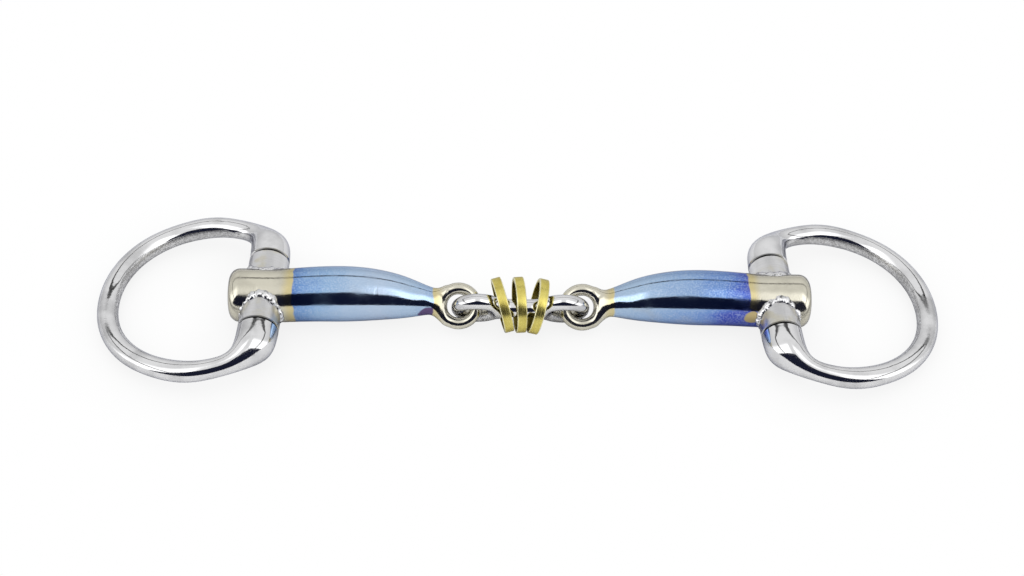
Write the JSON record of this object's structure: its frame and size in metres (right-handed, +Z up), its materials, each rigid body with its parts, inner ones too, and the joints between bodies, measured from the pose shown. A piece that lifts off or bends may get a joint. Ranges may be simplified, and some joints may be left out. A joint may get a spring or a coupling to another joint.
{
  "type": "snaffle bit",
  "caption": "Double-jointed snaffle bit with blued curved cannons, egg-shaped cheek rings that swing on barrels, and loose rings on its link.",
  "frame": {"origin": "middle of the bit on the table it lies on", "axes": "+X along the mouthpiece, +Y across it along the cheek barrels, +Z up"},
  "size_m": [0.2422, 0.0613, 0.0162],
  "materials": {
    "stainless": "polished stainless steel",
    "blued_iron": "heat-blued polished iron, bare and straw-coloured at its ends",
    "weld_steel": "rippled weld bead, lightly polished",
    "brass": "satin brass with fine turning marks"
  },
  "bodies": {
    "link": {"centre_link": "stainless"},
    "left_arm": {"left_cannon": "blued_iron", "left_barrel": "stainless", "left_weld_near": "weld_steel", "left_weld_far": "weld_steel"},
    "right_arm": {"right_cannon": "blued_iron", "right_barrel": "stainless", "right_weld_near": "weld_steel", "right_weld_far": "weld_steel"},
    "left_cheek": {"left_cheek_ring": "stainless", "left_hinge_pin": "stainless"},
    "right_cheek": {"right_cheek_ring": "stainless", "right_hinge_pin": "stainless"},
    "brass_left": {"brass_ring_left": "brass"},
    "brass_middle": {"brass_ring_middle": "brass"},
    "brass_right": {"brass_ring_right": "brass"}
  },
  "joints": [
    {"name": "left_arm_fold", "type": "hinge", "parent": "link", "child": "left_arm", "pos_m": [-0.013, -0.00372, 0.00688], "axis": [0, 0.9397, 0.342], "range_deg": [-70, 70]},
    {"name": "right_arm_fold", "type": "hinge", "parent": "link", "child": "right_arm", "pos_m": [0.013, -0.00372, 0.00688], "axis": [0, -0.9397, -0.342], "range_deg": [-70, 70]},
    {"name": "left_cheek_swing", "type": "hinge", "parent": "left_arm", "child": "left_cheek", "pos_m": [-0.0733, -0.00072, 0.00785], "axis": [0.0454, 0.999, 0], "range_deg": [-160, 172]},
    {"name": "right_cheek_swing", "type": "hinge", "parent": "right_arm", "child": "right_cheek", "pos_m": [0.0733, -0.00072, 0.00785], "axis": [0.0454, -0.999, 0], "range_deg": [-160, 172]},
    {"name": "brass_left_spin", "type": "hinge", "parent": "link", "child": "brass_left", "pos_m": [-0.00515, -0.00362, 0.00815], "axis": [0.9628, 0.2205, 0.1564], "continuous": true},
    {"name": "brass_middle_spin", "type": "hinge", "parent": "link", "child": "brass_middle", "pos_m": [-0.0003, -0.00342, 0.00804], "axis": [0.9955, 0.0941, -0.0087], "continuous": true},
    {"name": "brass_right_spin", "type": "hinge", "parent": "link", "child": "brass_right", "pos_m": [0.005, -0.00402, 0.00815], "axis": [0.9741, -0.0887, -0.2079], "continuous": true}
  ]
}
